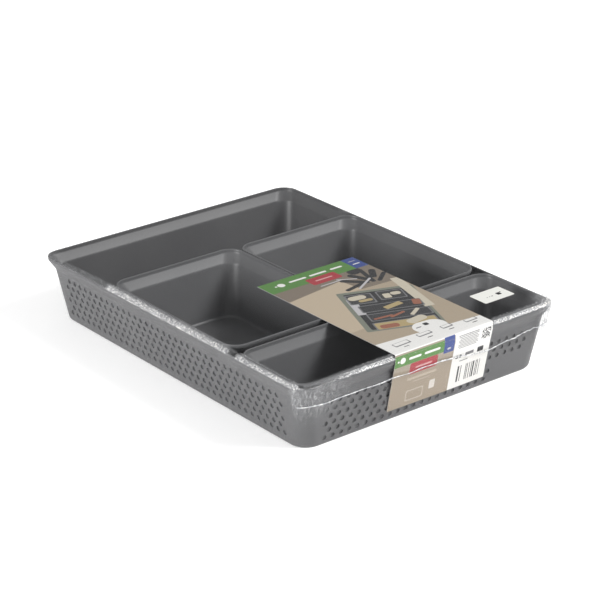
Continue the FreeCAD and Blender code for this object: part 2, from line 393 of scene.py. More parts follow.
# %% Cells of the dimple panel
def dimple_cells(builder, faces, placing, columns, is_blank):
    """Merges the panel's small squares into staggered cells and returns them."""
    back = placing.inverted()
    groups = {}
    for face in faces:
        spot = back @ face.calc_center_median()
        row = math.floor((spot.y + 0.5) * DIMPLE_ROWS)
        shift = 0.5 * (row % 2)
        cell = math.floor((spot.x + 0.5) * columns - shift)
        centre = placing @ Vector(((cell + 0.5 + shift) / columns - 0.5, (row + 0.5) / DIMPLE_ROWS - 0.5, 0))
        if 0 <= cell < columns - row % 2 and not is_blank(centre):
            groups.setdefault((row % 2, cell % 2), []).append(face)
    cells = []
    for batch in groups.values():
        cells += bmesh.ops.dissolve_faces(builder, faces=batch, use_verts=False)["region"]
    return cells


print("cells of", DIMPLE_PITCH, "by", DIMPLE_ROW)


# %% Sink the dimples
def round_outline(cell, along, upward):
    """Moves the points of a cell onto a circle, the rightmost one first."""
    middle = cell.calc_center_bounds()
    in_order = sorted(cell.verts, key=lambda vert: math.atan2((vert.co - middle).dot(upward),
                                                              (vert.co - middle).dot(along)) % math.tau)
    start = min(range(len(in_order)), key=lambda place: abs((in_order[place].co - middle).dot(upward))
                - (in_order[place].co - middle).dot(along))
    for place, vert in enumerate(in_order):
        angle = math.tau * (place - start) / len(in_order)
        vert.co = middle + (along * math.cos(angle) + upward * math.sin(angle)) * DIMPLE_RADIUS


def sink_dimples(builder, cells, along, upward, inward):
    """Turns every cell's inset into a round hollow with steep sides and a dished bottom."""
    bmesh.ops.inset_individual(builder, faces=cells, thickness=0.6 * MM, depth=0.0, use_even_offset=False)
    for cell in cells:
        round_outline(cell, along, upward)
    for share, narrowing in DISH:
        cells = bmesh.ops.extrude_discrete_faces(builder, faces=cells)["faces"]
        for cell in cells:
            middle = cell.calc_center_median()
            for vert in cell.verts:
                vert.co = middle + (vert.co - middle) * narrowing + inward * DIMPLE_DEPTH * share
    return len(cells)


print("dimples", DIMPLE_DEPTH, "deep")


# %% Dimples of one wall
def outer_wall(builder, centre, direction):
    """The large flat face outside one wall. The outer of the two largest that face that way."""
    facing = [face for face in builder.faces if abs(face.normal.dot(direction)) > 0.95
              and (face.calc_center_median() - centre).dot(direction) > 0]
    largest = sorted(facing, key=lambda face: face.calc_area())[-2:]
    return max(largest, key=lambda face: face.calc_center_median().dot(direction))


def dimple_wall(builder, centre, direction, low, straight, is_blank):
    """Sinks the dimple pattern into the outside of one wall and returns the number of dimples."""
    wall = outer_wall(builder, centre, direction)
    bmesh.ops.inset_individual(builder, faces=[wall], thickness=0.35 * MM, depth=0.0, use_even_offset=True)
    outward = wall.normal * math.copysign(1.0, wall.normal.dot(direction))
    along = Vector((0, 0, 1)).cross(outward).normalized()
    upward = outward.cross(along).normalized()
    columns = int(straight / DIMPLE_PITCH)
    width, height = columns * DIMPLE_PITCH, DIMPLE_ROWS * DIMPLE_ROW
    bottom = wall.calc_center_median()
    start = SIDE_START if abs(direction.x) > 0.5 else END_START
    bottom += upward * ((low + start - bottom.z) / upward.z)
    middle = bottom + upward * height / 2
    middle += along * ((centre - middle).dot(along))
    turning = Matrix((along * width, upward * height, outward)).transposed().to_4x4()
    placing = Matrix.Translation(middle) @ turning
    outline = list(wall.edges)
    bmesh.ops.delete(builder, geom=[wall], context="FACES_ONLY")
    grid = bmesh.ops.create_grid(builder, x_segments=columns * 4, y_segments=DIMPLE_ROWS * 2, size=0.5,
                                 matrix=placing)["verts"]
    faces = list(dict.fromkeys(face for vert in grid for face in vert.link_faces))
    rim = list(dict.fromkeys(edge for face in faces for edge in face.edges if edge.is_boundary))
    bmesh.ops.triangle_fill(builder, use_beauty=True, use_dissolve=False, edges=outline + rim, normal=outward)
    cells = dimple_cells(builder, faces, placing, columns, is_blank)
    return sink_dimples(builder, cells, along, upward, -outward)


print("dimple helpers ready")


# %% The plain shell of a tray
def tray_sections(low, rim):
    """Level, inset and corner radius of every ring, for the outside and for the inside."""
    lean = (BASE_INSET - FLARE_INSET) / (rim - SHOULDER_DROP - low - FOOT)
    cove_inset = BASE_INSET + WALL - lean * (FLOOR + COVE - FOOT)
    outside = [(low, BASE_INSET + FOOT, RIM_RADIUS), (low + FOOT, BASE_INSET, BASE_RADIUS),
               (rim - SHOULDER_DROP, FLARE_INSET, RIM_RADIUS), (rim - LIP, 0, RIM_RADIUS),
               (rim, 0, RIM_RADIUS)]
    inside = [(rim - LIP, WALL, RIM_RADIUS - WALL),
              (rim - SHOULDER_DROP, FLARE_INSET + WALL, RIM_RADIUS - WALL),
              (low + FLOOR + COVE, cove_inset, BASE_RADIUS - WALL),
              (low + FLOOR, cove_inset + COVE, RIM_RADIUS - WALL)]
    return outside, inside


def tray_shell(builder, centre, half_width, half_length, low, rim):
    """Bridges a tray's rings into one closed shell and rounds its edges."""
    outer_rings, inner_rings = [
        [rounded_ring(builder, centre, half_width - inset, half_length - inset, radius, level)
         for level, inset, radius in sections] for sections in tray_sections(low, rim)]
    bridge_rings(builder, outer_rings)
    mouth = outer_rings[-1][1]
    bmesh.ops.inset_region(builder, faces=[mouth], thickness=WALL, use_even_offset=True)
    mouth_edges = list(mouth.edges)
    bmesh.ops.delete(builder, geom=[mouth], context="FACES_ONLY")
    bridge_rings(builder, [(mouth_edges, None)] + inner_rings)
    bmesh.ops.recalc_face_normals(builder, faces=builder.faces)
    for level, rounding, steps in ((rim, 0.6, 2), (rim - LIP, 0.9, 2), (rim - SHOULDER_DROP, 1.2, 3),
                                   (low + FOOT, 0.8, 3), (low + FLOOR + COVE, 1.0, 3)):
        soften(builder, level, rounding * MM, steps)
    bmesh.ops.recalc_face_normals(builder, faces=builder.faces)


print("tray shell ready")


# %% Build one tray
def make_tray(node, material, body, is_blank=lambda spot: False):
    """One moulded tray in the place of its CAD node."""
    low_corner, high_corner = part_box(node)
    centre = (low_corner + high_corner) / 2
    half_width, half_length = (high_corner.x - low_corner.x) / 2, (high_corner.y - low_corner.y) / 2
    builder = bmesh.new()
    tray_shell(builder, centre, half_width, half_length, low_corner.z, high_corner.z)
    count = 0
    for direction, half in (((-1, 0, 0), half_length), ((1, 0, 0), half_length),
                            ((0, -1, 0), half_width), ((0, 1, 0), half_width)):
        straight = 2 * (half - BASE_INSET - BASE_RADIUS) + 0.6 * MM
        count += dimple_wall(builder, centre, Vector(direction), low_corner.z, straight, is_blank)
    bmesh.ops.remove_doubles(builder, verts=builder.verts, dist=0.00001 * MM)
    bmesh.ops.recalc_face_normals(builder, faces=builder.faces)
    print(node, count, "dimples, open edges", sum(not edge.is_manifold for edge in builder.edges))
    return finish_piece(builder, node + "_moulding", material, body, node)


print("tray builder ready")

# %% [markdown]
# The large tray has a smooth patch in its front wall, where such mouldings carry their maker's mark. It is
# left blank. The three small trays have the same section and the same pattern as the large one.

# %% The four trays
PATCH_LEFT, PATCH_RIGHT, PATCH_TOP = 76 * MM, 124 * MM, 25 * MM


def in_smooth_patch(spot):
    """True low on the right of the large tray's front wall."""
    return spot.y < 0 and PATCH_LEFT < spot.x < PATCH_RIGHT and spot.z < PATCH_TOP


make_tray("outer_tray", outer_plastic, "outer", in_smooth_patch)
for place in ("middle_left", "middle_right", "front"):
    make_tray(place + "_tray", inner_plastic, place)

# %% [markdown]
# ## The card
# A sheet of coated card with one fold. It could be three flat boxes, but a real sheet is one piece with a
# rounded bend. It starts as a single edge at the back, which is extruded along the card's own section: flat
# over the trays, round the fold, and down the front. Each point remembers how far it lies from the middle of
# the card and from the fold, in millimetres, so the printing follows the sheet round the bend.

# %% Section of the card
card_low, card_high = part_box("label_card")
CARD_THICKNESS, FOLD_RADIUS, TOP_EDGE, FLAP_BULGE = 0.4 * MM, 1.4 * MM, 60 * MM, 0.7 * MM
card_middle, half_card = (card_low.x + card_high.x) / 2, (card_high.x - card_low.x) / 2
fold_y, card_top = card_low.y + CARD_THICKNESS / 2, card_high.z - CARD_THICKNESS / 2
lip_foot, flap_foot_y = card_high.z - 7.7 * MM, card_low.y + 11.2 * MM
top_line = [(card_high.y - CARD_THICKNESS / 2, card_top), (card_high.y - TOP_EDGE, card_top),
            (fold_y + TOP_EDGE, card_top)]
fold_line = [(fold_y + FOLD_RADIUS * (1 - math.sin(turn)), card_top - FOLD_RADIUS * (1 - math.cos(turn)))
             for turn in [math.radians(15 * step) for step in range(7)]]
flap_line = [(fold_y, lip_foot + 1 * MM), (fold_y + 0.2 * MM, lip_foot - 1 * MM)]
flap_line += [(fold_y + 0.2 * MM + (flap_foot_y - fold_y) * part, lip_foot + (card_low.z - lip_foot) * part)
              for part in (0.25, 0.5, 0.75, 0.98)]
card_line = top_line + fold_line + flap_line
print("card section of", len(card_line), "points")

# %% Extrude the card
builder = bmesh.new()
print_layer = builder.verts.layers.float_vector.new("print_place")
run = [0.0]
for (y_a, z_a), (y_b, z_b) in zip(card_line, card_line[1:]):
    run.append(run[-1] + math.hypot(y_b - y_a, z_b - z_a))
fold_start, fold_end = len(top_line), len(top_line) + len(fold_line) - 1
fold_run = run[(fold_start + fold_end) // 2]
ends = [builder.verts.new((card_middle + side * half_card, *card_line[0])) for side in (-1, 1)]
row = [builder.edges.new(ends)]
for end in ends:
    end[print_layer] = ((end.co.x - card_middle) / MM, fold_run / MM, 0)
for (y, z), along in zip(card_line[1:], run[1:]):
    made = bmesh.ops.extrude_edge_only(builder, edges=row)["geom"]
    row = [part for part in made if isinstance(part, bmesh.types.BMEdge)]
    for vert in [part for part in made if isinstance(part, bmesh.types.BMVert)]:
        vert.co.y, vert.co.z = y, z
        vert[print_layer] = ((vert.co.x - card_middle) / MM, (fold_run - along) / MM, 0)
print("card is", round(run[-1], 4), "m long when flat")

# %% Cut the card into fields and give it thickness
SPLIT_ACROSS = 4.0
TOP_SPLITS = (20.0, 40.0, 60.0, 80.0, 100.0, 125.0, 148.0, 170.0)
cut_through(builder, (card_middle + SPLIT_ACROSS * MM, 0, 0), (1, 0, 0))
for strip in range(1, 12):
    cut_through(builder, (card_middle - half_card + strip * half_card / 6, 0, 0), (1, 0, 0))
for split in TOP_SPLITS:
    split_y = card_line[fold_start][0] + split * MM - (fold_run - run[fold_start])
    cut_through(builder, (0, split_y, 0), (0, 1, 0))
for vert in builder.verts:
    hang = max(0.0, (lip_foot - vert.co.z) / (lip_foot - card_low.z))
    side = (vert.co.x - card_middle) / half_card
    vert.co.y -= FLAP_BULGE * hang * (1 - side * side)
turn_outwards(builder)
bmesh.ops.solidify(builder, geom=builder.faces, thickness=CARD_THICKNESS)
print("card", len(builder.faces), "faces")

# %% [markdown]
# The printing is all plain shapes: bands, blocks, rounded bars and a drawn drawer with things in it. Bars
# stand where a real card has its wording, and nothing on it is a word, a number or a mark of any maker.
# Later shapes are printed over earlier ones, so the order is that of a painter, from the ground up.

# %% Card colours
TAN, COUNTER, SHADE = ink(160, 146, 126), ink(178, 163, 141), ink(116, 105, 92)
GREEN, BLUE, RED, ROSE = ink(74, 122, 50), ink(42, 64, 128), ink(156, 38, 48), ink(200, 150, 150)
WHITE, PALE, GREY, DARK = ink(222, 221, 218), ink(178, 176, 178), ink(108, 108, 110), ink(26, 26, 28)
CREAM, CLAY, STRAW, DRAWER = ink(188, 180, 162), ink(140, 86, 64), ink(164, 146, 104), ink(112, 116, 104)
KRAFT = ink(142, 129, 112)
print("card inks ready")

# %% Artwork: worktop, kitchen tools and drawer
# Each shape is: centre x, centre y, half width, half height, turn in degrees, corner radius, ink.
worktop = [(-8, 150, 66, 50, 0, 1, SHADE), (-45, 118, 60, 30, 8, 1, COUNTER), (30, 70, 60, 58, -4, 1, TAN),
           (-36, 96, 34, 36, 2, 1, COUNTER)]
kitchen_tools = [
    (30, 151, 3.2, 13, 24, 3, DARK), (38, 150, 2.4, 15, -14, 2, DARK), (20, 147, 3, 14, 46, 3, DARK),
    (46, 152, 3.4, 10, -34, 3, DARK), (36, 166, 8, 6, 12, 5, DARK), (12, 137, 12, 2.4, 12, 2, DARK),
    (25, 138, 14, 1.2, 30, 1, PALE), (48, 141, 2.2, 11, -52, 2, DARK), (18, 156, 10, 0.9, -30, 0.8, PALE)]
drawer = [(6, 80, 37, 45, -21, 2, DRAWER), (7, 79, 33, 41, -21, 2, DARK), (46, 96, 5, 36, -14, 1, CREAM),
          (-17, 100, 4, 18, -21, 1, PALE)]
print(len(worktop + kitchen_tools + drawer), "shapes behind the drawn trays")


# %% Artwork: the drawn trays and what lies in them
def drawn_tray(x, y, half_width, half_height, turn, fill, line_across=1.4, line_along=1.2):
    """A tray seen from above: a grey rim and the shape inside it."""
    return [(x, y, half_width, half_height, turn, 1.5, GREY),
            (x, y, half_width - line_across, half_height - line_along, turn, 1.5, fill)]


drawn_trays = drawn_tray(-2, 112, 13, 11, -21, ink(48, 48, 48), 1.5, 1.4)
drawn_trays += [(-3, 116, 9, 4.5, -10, 4.4, CREAM), (0, 107, 7, 2.5, -12, 2.4, STRAW)]
drawn_trays += drawn_tray(27, 103, 13, 10, -21, ink(42, 42, 42), 1.4, 1.4)
drawn_trays += [(22, 103, 3.6, 5, -21, 1, CREAM), (32, 103, 5, 3.4, -16, 3, CREAM)]
drawn_trays += drawn_tray(10, 83, 30, 8, -20, ink(36, 36, 38))
drawn_trays += [(12, 83, 10, 3.4, 4, 1, STRAW), (34, 76, 4, 6, -30, 2, CLAY)]
drawn_trays += drawn_tray(4, 64, 30, 8, -20, ink(42, 42, 44))
drawn_trays += [(-12, 68, 10, 1.6, -8, 1.4, CLAY), (2, 65, 9, 1.6, 8, 1.4, CLAY), (18, 60, 2, 8, -60, 1, CREAM)]
drawn_trays += drawn_tray(-4, 46, 30, 8, -20, STRAW)
drawn_trays += [(-20, 50, 9, 4, -18, 3, CLAY), (8, 46, 11, 5, 6, 4.6, CREAM)]
print(len(drawn_trays), "shapes in the drawn trays")

# %% Artwork: heading of the top panel
heading = [(0, 183, 60, 12.4, 0, 0.3, GREEN), (49.5, 183, 7.4, 12.4, 0, 0.3, BLUE),
           (-38, 183, 3.8, 3.8, 0, 3.6, WHITE), (-44, 183, 1.2, 1.2, 0, 1, WHITE)]
heading += [(x, 184, half_width, 1.5, 0, 1.4, WHITE) for x, half_width in ((-18, 10), (6, 10), (28, 7))]
heading += [(49.5, 180, 4, 0.8, 0, 0.7, WHITE), (49.5, 187, 4, 0.5, 0, 0.5, PALE),
            (3, 171, 17, 7.6, 0, 2.2, RED), (3, 171, 10, 1.1, 0, 1, ROSE), (2, 158, 13, 0.8, 0, 0.6, PALE)]
print(len(heading), "shapes in the heading")

# %% Artwork: the white strip at the fold
strip = [(7, 27, 17, 12, -5, 11.9, WHITE), (0, -1, 76, 22.6, -5.0, 0.3, WHITE),
         (7, 33, 2.6, 2.6, 0, 1.2, DARK), (-3, 31, 3, 0.8, 0, 0.6, GREY)]
for x, y, half_width, half_height, inner_height, caption_y, caption_ink in (
        (-37, 15, 9, 3.4, 2.4, 8, GREY), (-8, 18, 8, 3, 2, 10, DARK), (18, 18, 6, 3, 2, 11, DARK),
        (44, 15, 7, 2.6, 1.8, 9, DARK)):
    strip += [(x, y, half_width, half_height, 2, 1, GREY),
              (x, y + 0.6, half_width - 1, inner_height, 2, 1, WHITE),
              (x, caption_y, 3, 0.6, 0, 0.5, caption_ink)]
print(len(strip), "shapes in the strip")

# %% Artwork: the hanging flap
flap = [(-22, -40, 35, 39.4, 0, 0.1, KRAFT), (35, -40, 22.4, 39.4, 0, 0.1, WHITE),
        (-27, -8, 31, 5.8, 0, 0.2, GREEN), (6, -8, 6, 8.2, 0, 0.2, BLUE), (6, -12, 2, 1, 0, 0.6, PALE),
        (-48, -8, 3.0, 3.0, 0, 2.8, WHITE), (-53, -8, 1, 1, 0, 0.9, WHITE),
        (-34, -8, 7, 1.2, 0, 1.1, WHITE), (-14, -8, 9, 1.2, 0, 1.1, WHITE),
        (-22, -20, 16, 6, 0, 2, RED), (-22, -20, 9.5, 1, 0, 0.9, ROSE),
        (-22, -31, 17, 1.2, 0, 1, ink(168, 155, 138)), (-22, -35, 10, 0.6, 0, 0.5, ink(160, 148, 132)),
        (-28, -49, 10, 5.6, 0, 1, ink(174, 163, 149)), (-28, -49, 9, 4.6, 0, 1, KRAFT),
        (-8, -45, 3.2, 4.6, 0, 1, ink(196, 190, 182))]
flap += [(29, -3.4 - 1.6 * line, 12 - 1.5 * (line % 3 == 2), 0.34, 0, 0.3, GREY) for line in range(9)]
flap += [(18 + 4.2 * mark, -25.5, 1.6, 1.6, 0, 0.7 + 0.8 * (mark % 2), DARK) for mark in range(2)]
flap += [(33, -25, 5, 1.6, 0, 0.4, GREY), (46, -25, 3.6, 2.6, 0, 0.8, DARK), (27, -31, 5, 0.5, 0, 0.4, GREY)]
artwork = worktop + kitchen_tools + drawer + drawn_trays + heading + strip + flap
print(len(artwork), "shapes in all")

# %% [markdown]
# One shader can hold only so many shapes, so the card is printed in fields. Each field is a part of the sheet
# with a material of its own, which lays down just the shapes that reach into it. An image would hold any
# number of shapes, but drawn shapes need no file and stay sharp.

# %% Material: printed card
def make_card_print(name, shapes, patterns):
    """Coated card stock with the given shapes and random patterns printed on it."""
    material, tree, shader = new_material(name)
    place = add_node(tree, "Attribute", {"attribute_name": "print_place"}).outputs["Vector"]
    colour = TAN
    for x, y, half_width, half_height, turn, corner, paint in shapes:
        block = add_node(tree, "Group", {"node_tree": block_group}, Place=place, Centre=(x, y, 0),
                         Half_Size=(half_width, half_height, 0), Turn=turn, Corner=corner)
        colour = blend_colours(tree, block.outputs["Mask"], colour, paint)
    for centre, half_size, cells_per_mm in patterns:
        cells = add_node(tree, "Group", {"node_tree": cells_group}, Place=place, Cells_Per_Unit=cells_per_mm)
        field = add_node(tree, "Group", {"node_tree": block_group}, Place=place, Centre=centre,
                         Half_Size=half_size)
        dark = calculate(tree, "MULTIPLY", field.outputs["Mask"], cells.outputs["Mask"])
        colour = blend_colours(tree, dark, colour, DARK)
    fibre = add_node(tree, "Group", {"node_tree": fibre_group}, Place=place, Scale=1.6, Detail=4.0,
                     Fleck_Low=0.35, Fleck_High=0.65, Fleck_Strength=0.10)
    bump = add_node(tree, "Bump", Height=fibre.outputs["Fibre"], Strength=0.08, Distance=0.2 * MM)
    put(tree, shader, "Base Color", blend_colours(tree, fibre.outputs["Fleck"], colour, GREY))
    put(tree, shader, "Roughness", spread(tree, fibre.outputs["Fibre"], 0.3, 0.7, 0.32, 0.46))
    put(tree, shader, "Normal", bump.outputs[0])
    return material


def reaches(shape, left, right, bottom, top):
    """True if a shape's circle touches the field."""
    x, y, half_width, half_height = shape[:4]
    aside = max(left - x, x - right, 0.0)
    away_from = max(bottom - y, y - top, 0.0)
    return math.hypot(aside, away_from) < math.hypot(half_width, half_height)


card_plain = make_card_print("card_stock_back", [(0, 60, 80, 200, 0, 1, PALE)], [])
print("material", card_plain.name)

# %% Fields of the card
PRINT_HALF, PRINT_TOP = 60.0, 200.0
row_edges = sorted((fold_run - along) / MM for along in run[fold_end:]) + list(TOP_SPLITS) + [PRINT_TOP]
fields = [(left, right, bottom, top) for bottom, top in zip(row_edges, row_edges[1:])
          for left, right in ((-PRINT_HALF, SPLIT_ACROSS), (SPLIT_ACROSS, PRINT_HALF))]
stripes = ((35, -45, 0), (13.5, 8.6, 0), (1.15, 0.0, 0))  # centre, half size, cells per mm
dots = ((50, -9.4, 0), (5.2, 5.2, 0), (1.3, 1.3, 0))
card_prints = []
for number, field in enumerate(fields):
    shapes = [shape for shape in artwork if reaches(shape, *field)]
    patterns = [pattern for pattern in (stripes, dots) if reaches(pattern[0][:2] + pattern[1][:2], *field)]
    card_prints.append(make_card_print("card_print_%02d" % number, shapes, patterns))
    print("field", number, "has", len(shapes), "shapes")

# %% Give every face of the card its field
builder.normal_update()
for face in builder.faces:
    spot = sum((vert[print_layer] for vert in face.verts), Vector()) / len(face.verts)
    printed_side = face.normal.z - face.normal.y > 0.5 and abs(face.normal.x) < 0.5
    face.material_index = 0 if not printed_side else 1 + next(
        number for number, (left, right, bottom, top) in enumerate(fields)
        if left <= spot.x <= right and bottom - 0.01 <= spot.y <= top)
card_piece = finish_piece(builder, "printed_card", card_plain, "wrap", "label_card")
for card_print in card_prints:
    card_piece.data.materials.append(card_print)

# %% [markdown]
# ## The sticker
# A small paper label with rounded corners on top of the film, with one plain dark mark and a row of dots. A
# flat face would do from above, but a thin solid has a real edge and closes properly.

# %% Shape of the sticker
STICKER_RADIUS = 1.6 * MM
sticker_low, sticker_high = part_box("film_sticker")
sticker_middle, sticker_size = (sticker_low + sticker_high) / 2, sticker_high - sticker_low
builder = bmesh.new()
edges, face = rounded_ring(builder, sticker_middle, sticker_size.x / 2, sticker_size.y / 2, STICKER_RADIUS,
                           sticker_low.z, 4)
lifted = bmesh.ops.extrude_face_region(builder, geom=[face])["geom"]
bmesh.ops.translate(builder, verts=[part for part in lifted if isinstance(part, bmesh.types.BMVert)],
                    vec=(0, 0, sticker_size.z))
bmesh.ops.recalc_face_normals(builder, faces=builder.faces)
print("sticker", len(builder.faces), "faces")

# %% Material: sticker paper
sticker_paint, tree, shader = new_material("sticker_paper")
place = add_node(tree, "TexCoord").outputs["Object"]
centred = add_node(tree, "Mapping", Vector=place, Location=tuple(-part / MM for part in sticker_middle),
                   Scale=(1 / MM,) * 3).outputs[0]
colour = ink(226, 226, 220)
sticker_marks = [(7, -1, 2.4, 2.4, 1.0, DARK), (10.6, 1.2, 0.8, 0.8, 0.7, DARK),
                 (-1.5, -1.6, 1.0, 0.7, 0.4, GREY)]
sticker_marks += [(x, -1.6, 0.7, 0.5, 0.4, GREY) for x in (-4.5, -7.5)]
for x, y, half_width, half_height, corner, paint in sticker_marks:
    block = add_node(tree, "Group", {"node_tree": block_group}, Place=centred, Centre=(x, y, 0),
                     Half_Size=(half_width, half_height, 0), Corner=corner)
    colour = blend_colours(tree, block.outputs["Mask"], colour, paint)
paper = add_node(tree, "Group", {"node_tree": fibre_group}, Place=centred, Scale=0.8, Detail=3.0,
                 Fleck_Low=0.4, Fleck_High=0.7, Fleck_Strength=0.06)
put(tree, shader, "Base Color", blend_colours(tree, paper.outputs["Fleck"], colour, GREY))
put(tree, shader, "Roughness", spread(tree, paper.outputs["Fibre"], 0.3, 0.7, 0.5, 0.6))
finish_piece(builder, "price_sticker", sticker_paint, "wrap", "film_sticker")

# %% [markdown]
# ## The shrink film
# Heat pulls the film tight, so it bridges straight from the outer rim to the base, and from the outer rim up
# to the small trays. It is nearly invisible where it lies flat. It shows where it gathers: in a white
# crinkled band along the rims, around the front corners and in a few loose patches. That white is partly
# painted highlight. Cloth simulation could shrink it, but its wrinkles would fall where they like. Here the
# film is lofted from rings and cut into a fine net, and each point is told how crinkled it is and how much
# highlight is painted on it. That one number drives both shape and finish.

# %% Net of the film
film_low, film_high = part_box("shrink_film")
film_x, film_y = film_high.x, film_high.y
FILM_RADIUS, NET_STEP, FOOT_INSET, RIM_INSET, TOP_INSET = 17.25 * MM, 4 * MM, 11.0 * MM, 0.3 * MM, 6.6 * MM
rim_level, top_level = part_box("outer_tray")[1].z, film_high.z - 0.15 * MM
lip_level = rim_level - LIP
film_rings = [(film_low.z + 0.2 * MM, FOOT_INSET, FILM_RADIUS), (lip_level, RIM_INSET, FILM_RADIUS),
              (rim_level + 0.35 * MM, RIM_INSET, FILM_RADIUS), (top_level, TOP_INSET, FILM_RADIUS - 4 * MM)]
builder = bmesh.new()
rings = [rounded_ring(builder, Vector((0, 0, 0)), film_x - inset, film_y - inset, radius, level, 10)
         for level, inset, radius in film_rings]
foot_face = rings[0][1]
bridge_rings(builder, rings)
bmesh.ops.delete(builder, geom=[foot_face], context="FACES_ONLY")
for step in range(1, int(2 * film_x / NET_STEP)):
    cut_through(builder, (-film_x + step * NET_STEP, 0, 0), (1, 0, 0))
for step in range(1, int(2 * film_y / NET_STEP)):
    cut_through(builder, (0, -film_y + step * NET_STEP, 0), (0, 1, 0))
for level in [film_low.z + 8 * MM * step for step in range(1, 8)] + [
        rim_level + 0.15 * MM, rim_level + 2 * MM, rim_level + 3.6 * MM]:
    cut_through(builder, (0, 0, level), (0, 0, 1))
print("film net of", len(builder.faces), "faces")

# %% Where the film gathers and where highlight is painted on it, in millimetres
RIM_ZONE, WALL_ZONE = 6.25, 15.25
left_rim, front_rim, front_wall = -film_x / MM + RIM_ZONE, -film_y / MM + RIM_ZONE, -film_y / MM + WALL_ZONE
small_trays_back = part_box("middle_left_tray")[1].y / MM - 2.4
gap_front, gap_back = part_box("front_tray")[1].y / MM - 1.4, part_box("middle_left_tray")[0].y / MM + 0.6
under_card = (card_low.x / MM - 1.5, card_high.x / MM + 1.5)
# The back tray corner marks a patch of painted highlight. At the other corners the white of the gathered film
# is partly painted highlight.
NEAR_CORNER, RIGHT_CORNER, BACK_TRAY_CORNER, REAR_CORNER = (-146, -200), (150, -200), (145, 92), (-148, 192)
print("free rims from", round(left_rim, 2), "and", round(front_rim, 2), "mm")


# %% How crinkled the film is, with its painted highlight
def fade(value, start, end):
    """0 before start, 1 after end, straight between."""
    return min(1.0, max(0.0, (value - start) / (end - start)))


def crinkle_and_highlight_at(spot):
    """How strongly the film is gathered at a point, with its painted highlight, from 0 to 1."""
    x, y, z = (part / MM for part in spot)

    def close_to(corner, start, end):
        return 1 - fade(math.hypot(x - corner[0], y - corner[1]), start, end)

    over_rim = z - rim_level / MM
    in_band = over_rim > 0.25
    band = 1 - fade(over_rim, 3.0, 4.4)
    found = [0.8 * close_to(RIGHT_CORNER, 8, 26) * fade(z, 10, 36)]
    if in_band and x < left_rim:
        beside_trays = y < small_trays_back and not gap_front < y < gap_back
        # The left rim band is partly painted highlight, and the faint line where no small tray stands is
        # painted highlight.
        found.append((0.84 + 0.25 * noise.noise(Vector((0, y * 0.05, 3)))) * band if beside_trays else 0.22)
    if in_band and y < front_rim:
        bare = 0 if under_card[0] < x < under_card[1] else 1
        found.append((0.3 + 0.6 * fade(x, -118, -80) * bare) * band)
    if in_band:
        # Painted highlight: a patch at the back tray corner, and partly at the rear corner.
        found += [0.42 * close_to(BACK_TRAY_CORNER, 3, 10), 0.3 * close_to(REAR_CORNER, 4, 18)]
    elif y < front_wall:
        found.append(0.36 * close_to(NEAR_CORNER, 8, 62) * fade(z, 18, 46) ** 2)
    return max(found)


crinkle_highlight_layer = builder.verts.layers.float.new("crinkle")
for vert in builder.verts:
    vert[crinkle_highlight_layer] = crinkle_and_highlight_at(vert.co)
print("crinkled points", sum(vert[crinkle_highlight_layer] > 0.3 for vert in builder.verts))

# %% Drape the back and raise the wrinkles
back_of_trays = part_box("middle_left_tray")[1].y + 0.8 * MM
builder.normal_update()
pushes = []
for vert in builder.verts:
    x, y, z = vert.co
    drop = fade(y, back_of_trays, film_y - 7 * MM)
    if z > rim_level + 0.5 * MM:
        vert.co.z = min(z, top_level - drop * (top_level - rim_level - 0.9 * MM))
    coarse, fine = noise.noise(Vector((x, y, z)) * 260), noise.noise(Vector((x, y, z * 0.3)) * 620)
    size = min((0.08 + 0.75 * vert[crinkle_highlight_layer]) * MM, 0.6 * MM)
    pushes.append(vert.normal * (coarse * 0.55 + fine * 0.45) * size)
for vert, push in zip(builder.verts, pushes):
    on_top = vert.co.z > top_level - 0.4 * MM
    vert.co += Vector((push.x, push.y, min(0.0, push.z) * 0.2)) if on_top else push
turn_outwards(builder)
print("film wrinkled")

# %% [markdown]
# Clear film is hard to draw with glass shaders when it is so thin: they bend and darken what lies behind. A
# plain shader with a low alpha leaves the trays as they are, and adds a painted sheen at a slant and white
# streaks that are partly painted highlight.

# %% Material: clear film
def make_film_finish(name, clear, stretch, white):
    """Clear film: almost nothing face on, a painted sheen at a slant, and white streaks where it is
    crinkled, which are partly painted highlight.
    """
    material, tree, shader = new_material(name)
    place = add_node(tree, "TexCoord").outputs["Object"]
    crinkle = add_node(tree, "Attribute", {"attribute_name": "crinkle"}).outputs["Fac"]
    film = add_node(tree, "Group", {"node_tree": streaks_group}, Place=place, Stretch=stretch, Crinkle=crinkle)
    slant = add_node(tree, "LayerWeight", Blend=0.25).outputs["Facing"]
    # A painted sheen: the film grows more opaque at a slant.
    sheen = calculate(tree, "MULTIPLY", calculate(tree, "POWER", slant, 3.0), 0.04)
    # Where the film gathers it is made whiter and more opaque: partly milky film, partly painted highlight.
    haze_and_highlight = calculate(tree, "MULTIPLY", film.outputs["Gathered_And_Highlight"], white)
    bump = add_node(tree, "Bump", Height=film.outputs["Streaks"], Strength=0.35, Distance=0.6 * MM)
    put(tree, shader, "Base Color", blend_colours(
        tree, film.outputs["Milk_And_Highlight"], (0.60, 0.61, 0.63, 1), (0.98, 0.94, 0.86, 1)))
    put(tree, shader, "Alpha", calculate(tree, "ADD", calculate(tree, "ADD", sheen, clear), haze_and_highlight, clamp=True))
    put(tree, shader, "Roughness", spread(tree, film.outputs["Streaks"], 0.3, 0.7, 0.08, 0.22))
    put(tree, shader, "Normal", bump.outputs[0])
    return material


film_finish = make_film_finish("clear_shrink_film", 0.006, (760, 760, 110), 0.95)
film_piece = finish_piece(builder, "film_skin", film_finish, "wrap", "shrink_film", 60.0)
skin = film_piece.modifiers.new("thickness", "SOLIDIFY")
skin.thickness, skin.offset = 0.12 * MM, -1.0

# %% [markdown]
# The film is welded along one line, which shrinks to a narrow uneven bead across the front. It could be a
# ridge in the net, but the net is too coarse for it. A curve with a round section is thick and thin by turns
# as its points say, and it follows the front wall from corner to corner.

